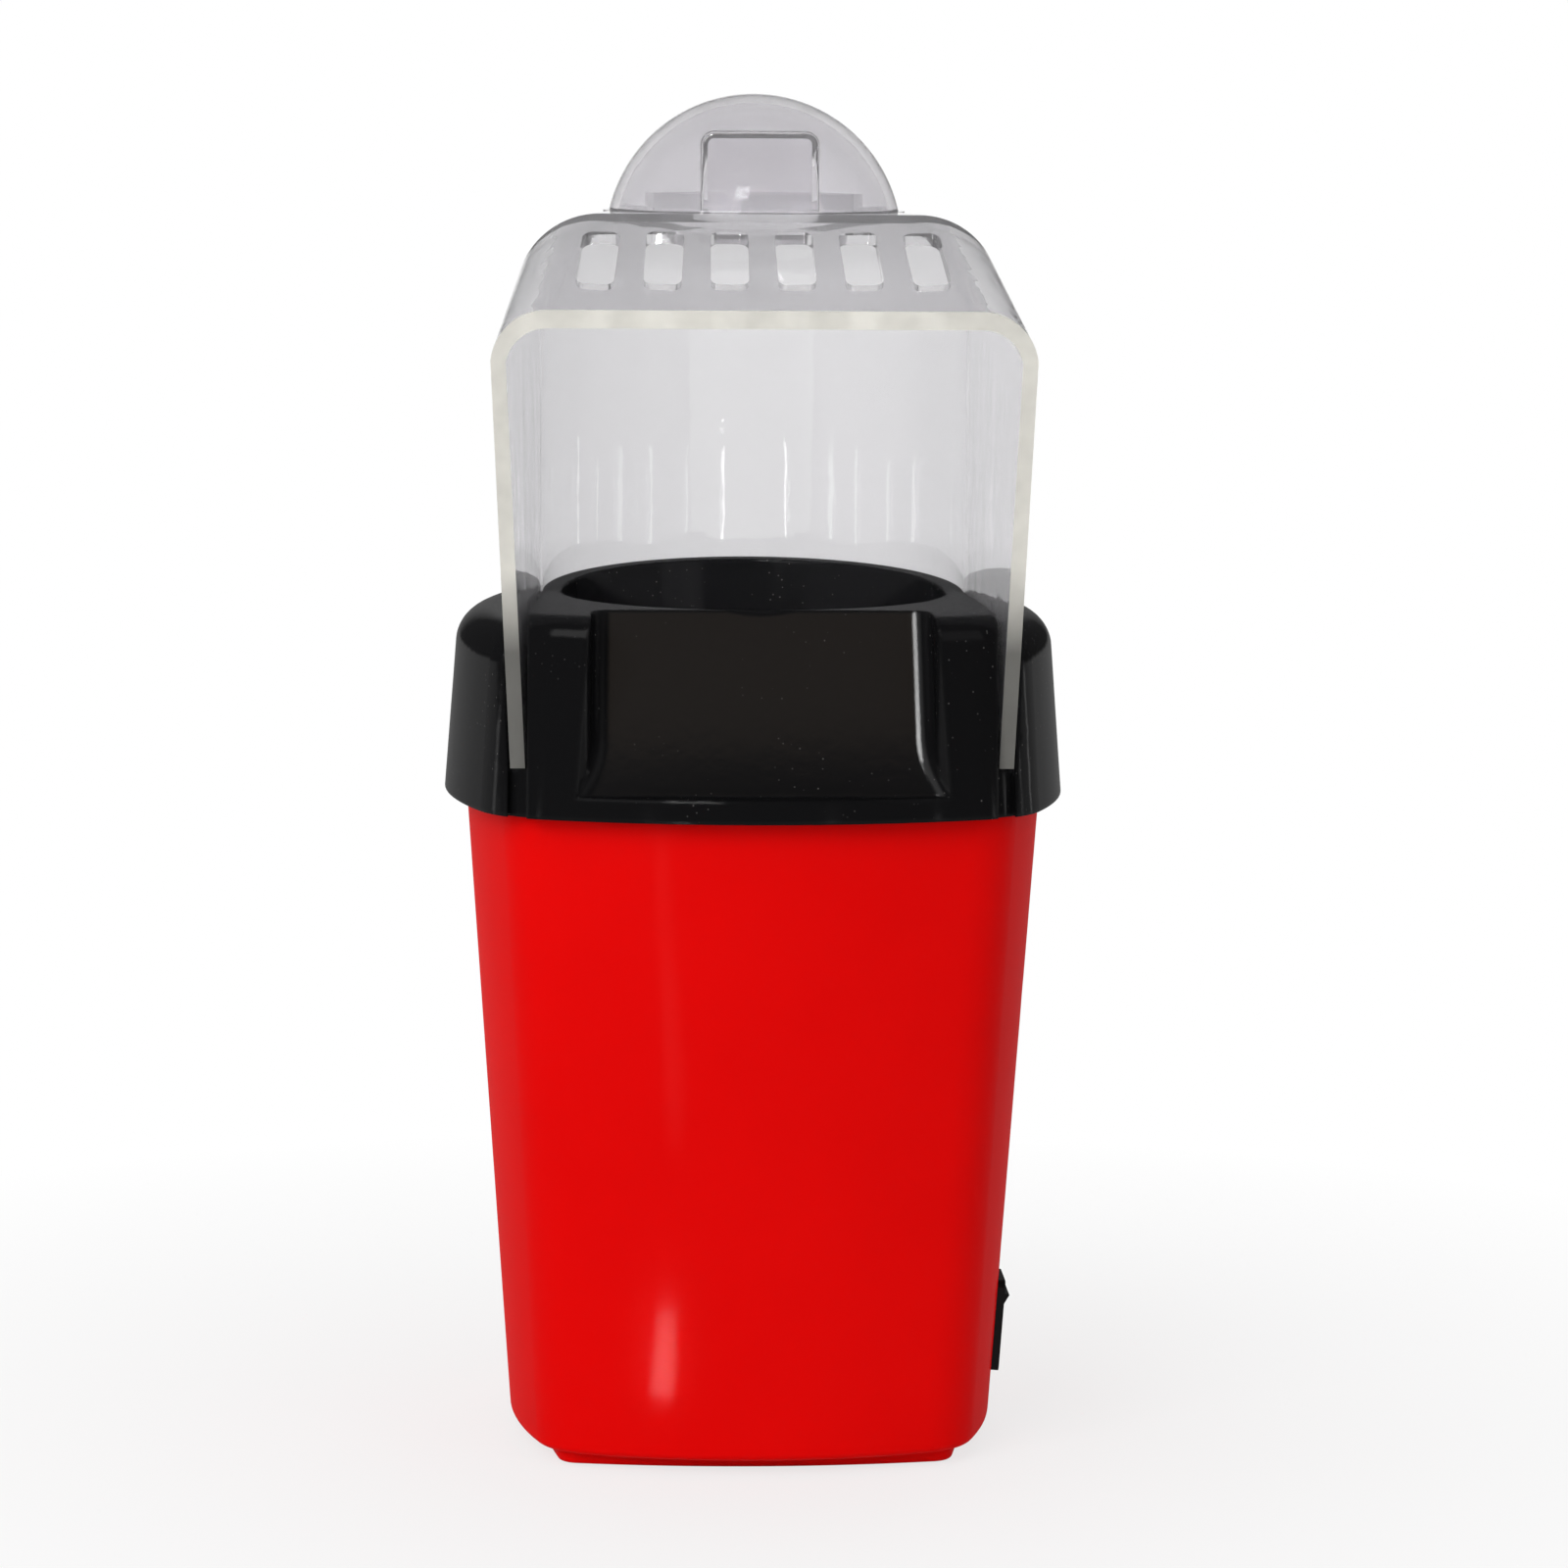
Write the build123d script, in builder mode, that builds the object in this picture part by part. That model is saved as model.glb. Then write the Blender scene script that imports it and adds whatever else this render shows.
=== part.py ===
from build123d import *
import math
import os

# Small hot-air popcorn maker, in millimetres.
# The origin is on the table under the middle of the base, +Z is up and the chute faces -Y.

# Heights above the table
foot_drop = 0.4
plinth_height = 3.0
body_height = 145.4
cap_height = 26.0

# Heights above the top of the body, and the collar's lap below it
collar_lap = 2.3
ramp_foot_rise = 2.8
hood_seat_rise = 8.2
lobe_rise = 38.0
funnel_rise = 41.2
funnel_rear_rise = 3.4
visor_front_rise = 106.4
hood_rise = 126.2

# Body casing, a rounded square with bowed sides
body_half_bottom = 54.5
body_half_top = 64.6
body_wall = 2.5
side_bow = 130.0
body_corner = 16.0
body_bottom_round = 1.6
body_inner_round = 1.0
air_opening_radius = 35.5

# Base cover, feet and screws
plinth_half = 47.5
plinth_corner = 5.0
plinth_bow = 220.0
plinth_edge_round = 1.0
spigot_wall = 2.0
spigot_height = 2.0
spigot_clearance = 0.3
grille_slots = 16
grille_slot_width = 3.2
grille_inner_radius = 11.0
grille_outer_radius = 28.0
foot_radius = 6.0
foot_depth = 1.2
foot_place = 31.0
screw_place_x = 35.5
screw_place_y = 20.5
screw_head_radius = 3.2
screw_head_height = 1.4
screw_shank_radius = 1.5
screw_length = 12.0
screw_clearance = 0.2

# Top collar
collar_half_bottom = 69.3
collar_half_top = 66.2
collar_corner = 23.0
collar_wall = 2.6
lobe_round = 8.0
skirt_gap = 0.5
shelf_half = 61.5
shelf_corner = 13.0
channel_clearance = 0.5
funnel_top_radius = 43.2
funnel_bottom_radius = 37.3
ramp_bottom_y = -61.8
ramp_half_front = 37.2
ramp_half_back = 36.6
ramp_mouth_depth = 2.6
ramp_mouth_round = 2.6
ramp_mouth_turn = 50.0
ramp_corner_round = 4.0
pillar_round = 5.0
boss_radius = 3.5
boss_height = 4.4
strip_groove = 1.5

# Clear hood
hood_front_y = -56.0
hood_wall = 3.2
hood_half_front = 54.3
hood_half_rear = 51.0
hood_lean_front = 0.0482
hood_lean_rear = 0.0
shoulder_round = 20.0
ridge_y = -26.0
roof_half_front = 58.6
roof_half_ridge = 55.0
roof_round_front = 12.0
roof_round_ridge = 24.0
slot_count = 6
slot_pitch = 14.2
slot_width = 8.2
slot_length = 19.5
slot_fan = 0.15
slot_corner = 2.0
neck_radius = 34.0
land_height = 1.0
hole_radius = 22.5
hole_rim_wall = 2.0
hole_rim_height = 3.8

# Clear measuring cap
cap_y = 12.0
cap_base_radius = 32.6
cap_wall = 2.0
cap_clearance = 0.3
grip_width = 26.0
grip_reach = 35.5
grip_height = 18.0
grip_wall = 1.6
grip_round = 3.0
grip_lift = 0.6
grip_edge_round = 1.2

# Popping chamber, gasket and duct
chamber_radius = 37.0
chamber_wall = 1.0
chamber_floor_z = 86.0
chamber_cone_height = 6.0
chamber_flange_radius = 51.0
chamber_flange = 1.2
vent_count = 20
vent_width = 2.0
vent_height = 11.0
vent_lean = 25.0
vent_lift = 3.0
chamber_screw_place = 48.0
chamber_screw_length = 4.7
chamber_screw_radius = 1.2
chamber_screw_head = 2.4
gasket_inner = 41.5
gasket_outer = 45.0
gasket_thickness = 1.2
duct_radius = 43.0
duct_wall = 0.8

# Fan frame, fan and motor
frame_bottom_z = 50.0
frame_shoulder_z = 60.0
frame_top_z = 72.0
frame_bore = 40.0
frame_outer = 45.5
frame_leg_radius = 4.0
frame_hub_radius = 15.0
frame_floor = 3.0
spoke_width = 5.0
duct_clearance = 0.2
blade_count = 9
blade_radius = 38.5
blade_height = 8.0
blade_thickness = 1.2
blade_pitch = 35.0
fan_hub_radius = 7.0
fan_bottom_z = 55.0
fan_hub_height = 10.0
shaft_radius = 1.15
shaft_clearance = 0.04
motor_radius = 13.8
motor_length = 38.0
motor_edge_round = 1.5
bearing_radius = 3.0
bearing_proud = 2.0
bearing_length = 6.0
bearing_clearance = 0.1
end_cap_thickness = 2.5
end_cap_radius = 12.6
motor_screw_place = 8.0
motor_screw_length = 7.0
motor_screw_radius = 1.2
motor_screw_head = 2.2
thread_clearance = 0.05
board_thickness = 1.6
board_radius = 11.5
diode_radius = 1.3
diode_length = 5.0
diode_place = 6.5

# Heater
mica_thickness = 1.0
mica_height = 8.0
mica_end_gap = 0.5
mica_slot_gap = 0.1
coil_wire = 1.1
coil_inner = 14.0
coil_step = 3.6
coil_half_turns = 12
coil_gap = 0.1

# Thermostat and fuse, both on the outside of the duct
thermostat_radius = 8.0
thermostat_height = 5.0
thermostat_z = 104.0
fuse_radius = 2.0
fuse_length = 12.0
fuse_lead = 6.0
fuse_lead_radius = 0.9
part_gap = 0.2

# Rocker switch on the right wall and cord gland in the rear wall
switch_z = 22.6
seat_depth = 0.35
bezel_height = 21.0
bezel_width = 15.0
bezel_thickness = 2.0
bezel_round = 1.6
switch_body_height = 18.6
switch_body_width = 12.8
switch_body_depth = 12.0
switch_clearance = 0.2
window_height = 17.2
window_width = 11.0
window_depth = 7.0
rocker_half = 7.6
rocker_width = 10.4
rocker_tip = 2.4
rocker_dip = 1.2
rocker_depth = 2.6
rocker_belly = 3.0
rocker_shoulder = 0.4
rocker_pivot = -0.6
rocker_rest_angle = 12.0
pivot_radius = 1.0
pivot_reach = 0.55
pivot_clearance = 0.06
terminal_width = 4.8
terminal_thickness = 0.8
terminal_length = 8.0
terminal_place = 5.0
gland_z = 20.0
gland_bore = 3.3
gland_shank = 5.4
gland_flange = 7.5
gland_flange_thickness = 2.5
gland_inner_reach = 6.0
gland_clearance = 0.1

# Heights and places worked out from the sizes above
base_bottom_z = foot_drop
body_bottom_z = foot_drop + plinth_height
body_top_z = body_bottom_z + body_height
collar_bottom_z = body_top_z - collar_lap
ramp_bottom_z = body_top_z + ramp_foot_rise
hood_seat_z = body_top_z + hood_seat_rise
lobe_top_z = body_top_z + lobe_rise
funnel_rim_z = body_top_z + funnel_rise
visor_front_z = body_top_z + visor_front_rise
hood_top_z = body_top_z + hood_rise
flange_top_z = body_bottom_z + body_wall
body_lean = (body_half_top - body_half_bottom) / body_height
chamber_top_z = body_top_z
flange_bottom_z = chamber_top_z - chamber_flange
duct_top_z = flange_bottom_z - gasket_thickness
motor_bottom_z = frame_bottom_z - motor_length
end_cap_bottom_z = motor_bottom_z - end_cap_thickness
rectifier_bottom_z = end_cap_bottom_z - board_thickness
hub_top_z = frame_bottom_z + frame_floor
mica_top_z = frame_top_z + mica_height
coil_z = mica_top_z + coil_gap + coil_wire
duct_outer = duct_radius + duct_wall
visor_rise = hood_top_z - visor_front_z
visor_run = ridge_y - hood_front_y
visor_length = math.hypot(visor_run, visor_rise)
visor_dir = Vector(0, visor_run / visor_length, visor_rise / visor_length)
visor_normal = Vector(0, -visor_dir.Z, visor_dir.Y)
cap_radius = (cap_base_radius**2 + cap_height**2) / (2 * cap_height)
cap_centre_z = hood_top_z + cap_height - cap_radius
land_rise = hood_top_z + land_height - cap_centre_z
land_radius = math.sqrt((cap_radius - cap_wall) ** 2 - land_rise**2) - cap_clearance
lobe_lean = (collar_half_top - collar_half_bottom) / (lobe_top_z - collar_bottom_z)
side_tilt = math.atan(body_lean)
wall_out_x = (math.cos(side_tilt), 0, -math.sin(side_tilt))
wall_out_y = (0, math.cos(side_tilt), -math.sin(side_tilt))
far_front = -collar_half_bottom - collar_wall * 4
screw_places = [(x, y) for x in (-screw_place_x, screw_place_x) for y in (-screw_place_y, screw_place_y)]

# Ways to place a solid on its lower or its upper face
low = (Align.CENTER, Align.CENTER, Align.MIN)
high = (Align.CENTER, Align.CENTER, Align.MAX)


def collar_half(z):
    """Half the collar's outer width at a height."""
    return collar_half_bottom + lobe_lean * (z - collar_bottom_z)


def body_half(z):
    """Half the casing's outer width at a height."""
    return body_half_bottom + body_lean * (z - body_bottom_z)


def bowed_square(z, half, corner, bow):
    """A square of the given half width whose sides bow outward, with rounded corners."""
    gap = bow - half
    c = (math.sqrt(2 * bow**2 - gap**2) - gap) / 2
    with BuildSketch(Plane.XY.offset(z)) as section:
        with BuildLine():
            ThreePointArc((-c, -c), (0, -half), (c, -c))
            ThreePointArc((c, -c), (half, 0), (c, c))
            ThreePointArc((c, c), (0, half), (-c, c))
            ThreePointArc((-c, c), (-half, 0), (-c, -c))
        make_face()
        fillet(section.vertices(), corner)
    return section.sketch


def bowed_block(low_z, low_half, high_z, high_half, corner, bottom_round=0.0):
    """A tapered block with bowed sides, its lower edge rounded where asked."""
    bow_offset = side_bow - body_half_top
    with BuildPart() as block:
        loft(
            sections=[
                bowed_square(low_z, low_half, corner, low_half + bow_offset),
                bowed_square(high_z, high_half, corner, high_half + bow_offset),
            ],
            ruled=True,
        )
        if bottom_round > 0:
            fillet(block.faces().sort_by(Axis.Z)[0].edges(), bottom_round)
    return block.part


def hood_plan_at(z, plan_z, grow, front_y):
    """The hood's outer plan as it is at plan_z, grown outward and laid at another height.

    Two straight sides close in towards a round rear, which they meet smoothly.
    """
    rise = plan_z - hood_seat_z
    rear = hood_half_rear + hood_lean_rear * rise
    front = hood_half_front + hood_lean_front * rise
    angle = math.acos(rear / math.hypot(front, hood_front_y)) - math.atan2(-hood_front_y, front)
    radius = rear + grow
    join_x = radius * math.cos(angle)
    join_y = radius * math.sin(angle)
    front_x = (radius - front_y * math.sin(angle)) / math.cos(angle)
    with BuildSketch(Plane.XY.offset(z)) as section:
        with BuildLine():
            Line((-join_x, join_y), (-front_x, front_y))
            Line((-front_x, front_y), (front_x, front_y))
            Line((front_x, front_y), (join_x, join_y))
            ThreePointArc((join_x, join_y), (0, radius), (-join_x, join_y))
        make_face()
    return section.sketch


def hood_plan(z, grow, front_y):
    """The hood's outer plan at a height, grown outward by a margin."""
    return hood_plan_at(z, z, grow, front_y)


def roof_section(y, inset):
    """Upright section of the hood's sloping visor, its corners rounder towards the ridge."""
    share = (y - hood_front_y) / visor_run
    top_z = visor_front_z + visor_rise * share - inset / visor_dir.Y
    half = roof_half_front + (roof_half_ridge - roof_half_front) * share - inset
    corner = roof_round_front + (roof_round_ridge - roof_round_front) * share - inset
    with BuildSketch(Plane.XZ.offset(-y)) as section:
        with BuildLine():
            Polyline(
                (-half, top_z),
                (-half, body_top_z),
                (half, body_top_z),
                (half, top_z),
                close=True,
            )
        make_face()
        fillet(section.vertices().group_by(Axis.Y)[-1], corner)
    return section.sketch


def roof_waste(inset, front_y):
    """What lies outside the visor's sections, from the front to a little behind the ridge."""
    rear_y = 2 * ridge_y - hood_front_y
    with BuildPart() as waste:
        with Locations((0, front_y, body_top_z)):
            Box(
                4 * roof_half_front,
                rear_y - front_y,
                hood_top_z + visor_rise - body_top_z,
                align=(Align.CENTER, Align.MIN, Align.MIN),
            )
        loft(
            sections=[roof_section(front_y, inset), roof_section(rear_y, inset)],
            ruled=True,
            mode=Mode.SUBTRACT,
        )
    return waste.part


def hood_form(inset, front_y, bottom_z):
    """Solid outer form of the hood, shrunk by an inset."""
    top_z = hood_top_z - inset
    with BuildPart() as form:
        loft(
            sections=[hood_plan(bottom_z, -inset, front_y), hood_plan(top_z, -inset, front_y)],
            ruled=True,
        )
        rim = form.faces().sort_by(Axis.Z)[-1].edges().sort_by(Axis.Y)[1:]
        fillet(rim, shoulder_round - inset)
        with Locations((0, cap_y, hood_top_z - shoulder_round)):
            Cylinder(neck_radius - inset, shoulder_round - inset, align=low)
        add(roof_waste(inset, front_y), mode=Mode.SUBTRACT)
    return form.part


switch_plane = Plane(
    origin=(body_half(switch_z) - seat_depth, 0, switch_z),
    x_dir=(0, 1, 0),
    z_dir=wall_out_x,
)
gland_plane = Plane(
    origin=(0, body_half(gland_z) - seat_depth, gland_z),
    x_dir=(-1, 0, 0),
    z_dir=wall_out_y,
)


# Body casing
with BuildPart() as body_shell:
    add(
        bowed_block(
            body_bottom_z,
            body_half_bottom,
            body_top_z,
            body_half_top,
            body_corner,
            bottom_round=body_bottom_round,
        )
    )
    add(
        bowed_block(
            flange_top_z,
            body_half(flange_top_z) - body_wall,
            body_top_z,
            body_half_top - body_wall,
            body_corner - body_wall,
            bottom_round=body_inner_round,
        ),
        mode=Mode.SUBTRACT,
    )
    with Locations((0, 0, body_bottom_z)):
        Cylinder(air_opening_radius, body_wall, align=low, mode=Mode.SUBTRACT)
    with Locations(*[(x, y, body_bottom_z) for x, y in screw_places]):
        Cylinder(screw_shank_radius + screw_clearance, body_wall, align=low, mode=Mode.SUBTRACT)
    with BuildSketch(switch_plane):
        RectangleRounded(
            bezel_width + 2 * switch_clearance,
            bezel_height + 2 * switch_clearance,
            bezel_round + switch_clearance,
        )
    extrude(amount=body_wall, mode=Mode.SUBTRACT)
    with BuildSketch(switch_plane):
        Rectangle(switch_body_width + 2 * switch_clearance, switch_body_height + 2 * switch_clearance)
    extrude(amount=-2 * body_wall, mode=Mode.SUBTRACT)
    with BuildSketch(gland_plane):
        Circle(gland_flange + gland_clearance)
    extrude(amount=body_wall, mode=Mode.SUBTRACT)
    with BuildSketch(gland_plane):
        Circle(gland_shank + gland_clearance)
    extrude(amount=-2 * body_wall, mode=Mode.SUBTRACT)

# Base cover with its air grille
with BuildPart() as base_cover:
    extrude(bowed_square(base_bottom_z, plinth_half, plinth_corner, plinth_bow), amount=plinth_height)
    fillet(base_cover.faces().sort_by(Axis.Z)[0].edges(), plinth_edge_round)
    with BuildSketch(Plane.XY.offset(body_bottom_z)):
        Circle(air_opening_radius - spigot_clearance)
        Circle(air_opening_radius - spigot_clearance - spigot_wall, mode=Mode.SUBTRACT)
    extrude(amount=body_wall + spigot_height)
    with BuildSketch(Plane.XY.offset(base_bottom_z)):
        with PolarLocations((grille_inner_radius + grille_outer_radius) / 2, grille_slots):
            SlotOverall(grille_outer_radius - grille_inner_radius, grille_slot_width)
        with GridLocations(2 * foot_place, 2 * foot_place, 2, 2):
            Circle(screw_shank_radius)
        with Locations(*screw_places):
            Circle(screw_shank_radius + screw_clearance)
    extrude(amount=plinth_height, mode=Mode.SUBTRACT)
    with BuildSketch(Plane.XY.offset(base_bottom_z)):
        with GridLocations(2 * foot_place, 2 * foot_place, 2, 2):
            Circle(foot_radius + screw_clearance)
    extrude(amount=foot_depth, mode=Mode.SUBTRACT)
    with BuildSketch(Plane.XY.offset(base_bottom_z)):
        with Locations(*screw_places):
            Circle(screw_head_radius + screw_clearance)
    extrude(amount=screw_head_height, mode=Mode.SUBTRACT)

# Four pressed-in feet, each with a stem in the base cover
with BuildPart() as rubber_feet:
    with GridLocations(2 * foot_place, 2 * foot_place, 2, 2):
        Cylinder(foot_radius, foot_drop + foot_depth, align=low)
    chamfer(rubber_feet.edges().group_by(Axis.Z)[0], foot_drop / 2)
    with GridLocations(2 * foot_place, 2 * foot_place, 2, 2):
        Cylinder(screw_shank_radius - screw_clearance, base_bottom_z + plinth_height, align=low)


def screw(plane, places, head_radius, head_height, shank_radius, length):
    """Cross-headed screws: heads above the plane, shanks going down through it."""
    recess = head_radius * 1.2
    with BuildPart(plane) as screws:
        with Locations(*places):
            Cylinder(head_radius, head_height, align=low)
            Cylinder(shank_radius, length, align=high)
        with Locations(*[(x, y, head_height) for x, y in places]):
            Box(recess, recess / 4, head_height, mode=Mode.SUBTRACT)
            Box(recess / 4, recess, head_height, mode=Mode.SUBTRACT)
    return screws.part


base_screw_plane = Plane((0, 0, base_bottom_z + screw_head_height), x_dir=(1, 0, 0), z_dir=(0, 0, -1))
with BuildPart() as base_screws:
    add(
        screw(
            base_screw_plane,
            [(x, -y) for x, y in screw_places],
            screw_head_radius,
            screw_head_height,
            screw_shank_radius,
            screw_length,
        )
    )


# Top collar
def collar_form(top_z):
    """The collar's outer form up to a height, cut from one tall block so that its sides always agree."""
    tall_z = funnel_rim_z + 2 * funnel_rear_rise
    with BuildPart() as form:
        add(bowed_block(collar_bottom_z, collar_half_bottom, tall_z, collar_half(tall_z), collar_corner))
        with Locations((0, 0, top_z)):
            Box(4 * collar_half_bottom, 4 * collar_half_bottom, tall_z, align=low, mode=Mode.SUBTRACT)
    return form.part


def island_plan(z, grow, front_y):
    """Plan of what stands inside the hood: the pillars and the funnel."""
    inset = hood_wall + channel_clearance - grow
    return hood_plan_at(z, hood_seat_z, -inset, front_y)


def top_profile(drop):
    """Everything under the collar's inner top, which is level in front and rises to the rear."""
    rear_z = funnel_rim_z + funnel_rear_rise * collar_half_bottom / funnel_top_radius
    with BuildPart() as under:
        with BuildSketch(Plane.YZ):
            with BuildLine():
                Polyline(
                    (far_front, collar_bottom_z),
                    (-far_front, collar_bottom_z),
                    (collar_half_bottom, rear_z - drop),
                    (0, funnel_rim_z - drop),
                    (far_front, funnel_rim_z - drop),
                    close=True,
                )
            make_face()
        extrude(amount=collar_half_bottom, both=True)
    return under.part


def funnel_space(grow):
    """The tapering bore from the chute lip down to the popping chamber."""
    slope = (funnel_top_radius - funnel_bottom_radius) / (funnel_rim_z - body_top_z)
    top_z = funnel_rim_z + 3 * funnel_rear_rise
    top_radius = funnel_bottom_radius + slope * (top_z - body_top_z)
    with BuildPart() as space:
        with Locations((0, 0, body_top_z)):
            Cone(funnel_bottom_radius + grow, top_radius + grow, top_z - body_top_z, align=low)
    return space.part


def ramp_space(grow):
    """The chute: a recess with a steep ramp, whose sides round outwards at its mouth."""
    lip_y = -funnel_top_radius
    slope = (lip_y - ramp_bottom_y) / (funnel_rim_z - ramp_bottom_z)
    flare = (ramp_half_front - ramp_half_back) / (lip_y - ramp_bottom_y)
    top_z = funnel_rim_z + lobe_round
    low_z = ramp_bottom_z - grow
    back_y = lip_y + slope * (top_z - funnel_rim_z) + grow
    low_y = ramp_bottom_y + grow - slope * grow
    half_mouth = ramp_half_front - flare * ramp_mouth_depth + grow
    half_back = ramp_half_back - flare * (back_y - lip_y) + grow
    with BuildPart() as space:
        with BuildSketch(Plane.XY.offset(low_z)):
            with BuildLine():
                back_line = Line((0, back_y), (half_back, back_y))
                side_line = Line(back_line @ 1, (half_mouth, ramp_bottom_y + ramp_mouth_depth))
                bend = JernArc(side_line @ 1, side_line % 1, ramp_mouth_round, ramp_mouth_turn)
                exit_line = Line(bend @ 1, bend @ 1 + (bend % 1) * collar_half_bottom / 2)
                Line(exit_line @ 1, (0, (exit_line @ 1).Y))
                mirror(about=Plane.YZ)
            make_face()
        extrude(amount=top_z - low_z)
        with BuildSketch(Plane.YZ):
            with BuildLine():
                Polyline((low_y, low_z), (back_y, low_z), (back_y, top_z), close=True)
            make_face()
        extrude(amount=collar_half_bottom, both=True, mode=Mode.SUBTRACT)
        back = space.faces().filter_by(lambda f: f.normal_at().Y > 0.5 and abs(f.normal_at().X) < 0.01)
        fillet(back.edges().filter_by(lambda e: abs(e.center().X) > 1), ramp_corner_round)
    return space.part


def channel_space(grow, low_z):
    """Room for the hood's lower edge and all that stands inside it, from a height upward."""
    top_z = funnel_rim_z + lobe_round
    with BuildPart() as space:
        loft(
            sections=[
                hood_plan(low_z, channel_clearance + grow, far_front),
                hood_plan(top_z, channel_clearance + grow, far_front),
            ],
            ruled=True,
        )
    return space.part


def island_block():
    """The pillars and funnel wall as one block, before the bore and the ramp are cut."""
    top_z = funnel_rim_z + 2 * funnel_rear_rise
    low_z = hood_seat_z - collar_wall
    with BuildPart() as block:
        extrude(island_plan(low_z, 0.0, far_front), amount=top_z - low_z)
        add(collar_form(top_z), mode=Mode.INTERSECT)
        add(top_profile(0.0), mode=Mode.INTERSECT)
        fillet(block.faces().sort_by(Axis.Y)[0].edges().sort_by(Axis.Z)[-1], pillar_round)
    return block.part


def island_hollow():
    """Hollows under the pillars and behind the funnel, open below."""
    top_z = funnel_rim_z + 2 * funnel_rear_rise
    with BuildPart() as hollow:
        extrude(island_plan(body_top_z, -collar_wall, far_front), amount=top_z - body_top_z)
        add(bowed_block(body_top_z, shelf_half, top_z, shelf_half, shelf_corner), mode=Mode.INTERSECT)
        add(top_profile(4 * collar_wall), mode=Mode.INTERSECT)
        add(funnel_space(collar_wall), mode=Mode.SUBTRACT)
        add(ramp_space(collar_wall), mode=Mode.SUBTRACT)
    return hollow.part


def lobe_hollow():
    """Hollows in the two rear corners outside the hood's channel, open below."""
    top_z = lobe_top_z - collar_wall
    with BuildPart() as hollow:
        add(bowed_block(body_top_z, shelf_half, top_z, shelf_half, shelf_corner))
        with Locations((0, 0, body_top_z)):
            Box(
                2 * shelf_half,
                shelf_half,
                top_z - body_top_z,
                align=(Align.CENTER, Align.MIN, Align.MIN),
                mode=Mode.INTERSECT,
            )
        add(channel_space(collar_wall, body_top_z), mode=Mode.SUBTRACT)
    return hollow.part


def strip_grooves():
    """Two shallow grooves in the collar's front, below the ends of the hood's front edge."""
    depth = hood_seat_z - collar_bottom_z
    with BuildPart() as grooves:
        extrude(hood_plan_at(collar_bottom_z, hood_seat_z, channel_clearance, far_front), amount=depth)
        extrude(island_plan(collar_bottom_z, 0.0, far_front), amount=depth, mode=Mode.SUBTRACT)
        add(
            bowed_block(
                collar_bottom_z,
                collar_half_bottom - strip_groove,
                hood_seat_z,
                collar_half(hood_seat_z) - strip_groove,
                collar_corner - strip_groove,
            ),
            mode=Mode.SUBTRACT,
        )
    return grooves.part


chamber_screw_places = [(-chamber_screw_place, 0), (0, chamber_screw_place), (chamber_screw_place, 0)]
with BuildPart() as top_collar:
    add(collar_form(lobe_top_z))
    fillet(top_collar.faces().sort_by(Axis.Z)[-1].edges(), lobe_round)
    add(channel_space(0.0, hood_seat_z), mode=Mode.SUBTRACT)
    add(island_block())
    add(funnel_space(0.0), mode=Mode.SUBTRACT)
    add(ramp_space(0.0), mode=Mode.SUBTRACT)
    add(
        bowed_block(
            collar_bottom_z,
            body_half_top + skirt_gap,
            body_top_z,
            body_half_top + skirt_gap,
            body_corner + skirt_gap,
        ),
        mode=Mode.SUBTRACT,
    )
    add(island_hollow(), mode=Mode.SUBTRACT)
    add(lobe_hollow(), mode=Mode.SUBTRACT)
    add(strip_grooves(), mode=Mode.SUBTRACT)
    with Locations(*[(x, y, body_top_z) for x, y in chamber_screw_places]):
        Cylinder(boss_radius, boss_height, align=low)
        Cylinder(chamber_screw_radius + thread_clearance, boss_height, align=low, mode=Mode.SUBTRACT)

# Clear hood
visor_fraction = 0.54
visor_middle = Vector(0, hood_front_y, visor_front_z) + visor_dir * (visor_length * visor_fraction)
visor_plane = Plane(origin=visor_middle, x_dir=(1, 0, 0), z_dir=visor_normal)
with BuildPart() as hood:
    add(hood_form(0.0, hood_front_y, hood_seat_z))
    add(hood_form(hood_wall, hood_front_y - hood_wall, hood_seat_z - hood_wall), mode=Mode.SUBTRACT)
    with Locations((0, cap_y, hood_top_z)):
        Cylinder(land_radius, land_height, align=low)
        Cylinder(hole_radius + hole_rim_wall, hole_rim_height, align=low)
        Cylinder(hole_radius, shoulder_round, mode=Mode.SUBTRACT)
    with BuildSketch(visor_plane):
        for index in range(slot_count):
            across = (index - (slot_count - 1) / 2) * slot_pitch
            with Locations((across, 0)):
                RectangleRounded(slot_width, slot_length, slot_corner, rotation=slot_fan * across)
    extrude(amount=hood_wall * 2, both=True, mode=Mode.SUBTRACT)

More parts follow.
